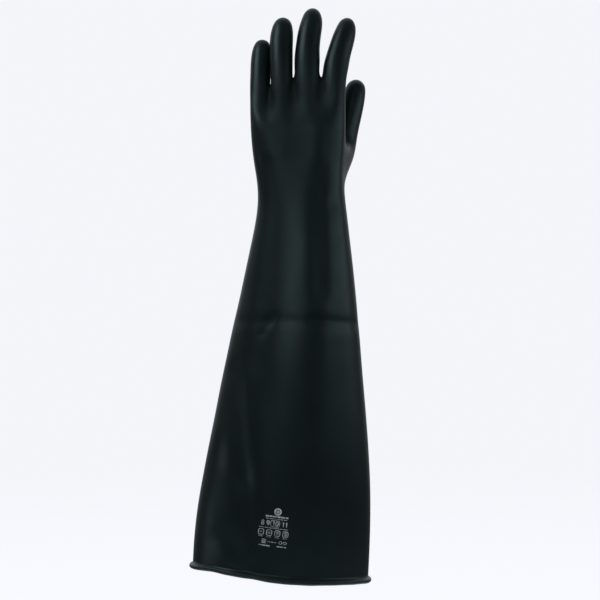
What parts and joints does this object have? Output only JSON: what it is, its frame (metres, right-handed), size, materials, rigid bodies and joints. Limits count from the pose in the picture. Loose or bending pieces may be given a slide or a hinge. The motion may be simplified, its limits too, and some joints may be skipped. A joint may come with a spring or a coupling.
{
  "type": "chemical-resistant glove",
  "caption": "Long black rubber gauntlet for the left hand: a hollow hand with fingers and thumb on a conical sleeve that ends in a rolled bead.",
  "frame": {"origin": "centre of the mouth at the cuff, where the arm goes in", "axes": "+Z from the cuff up to the fingertips, +X across the hand to the thumb side, +Y from the back of the hand to the palm"},
  "size_m": [0.1929, 0.1187, 0.6095],
  "materials": {
    "black_rubber": "satin dipped natural rubber"
  },
  "bodies": {
    "root": {"glove_shell": "black_rubber"}
  },
  "joints": []
}
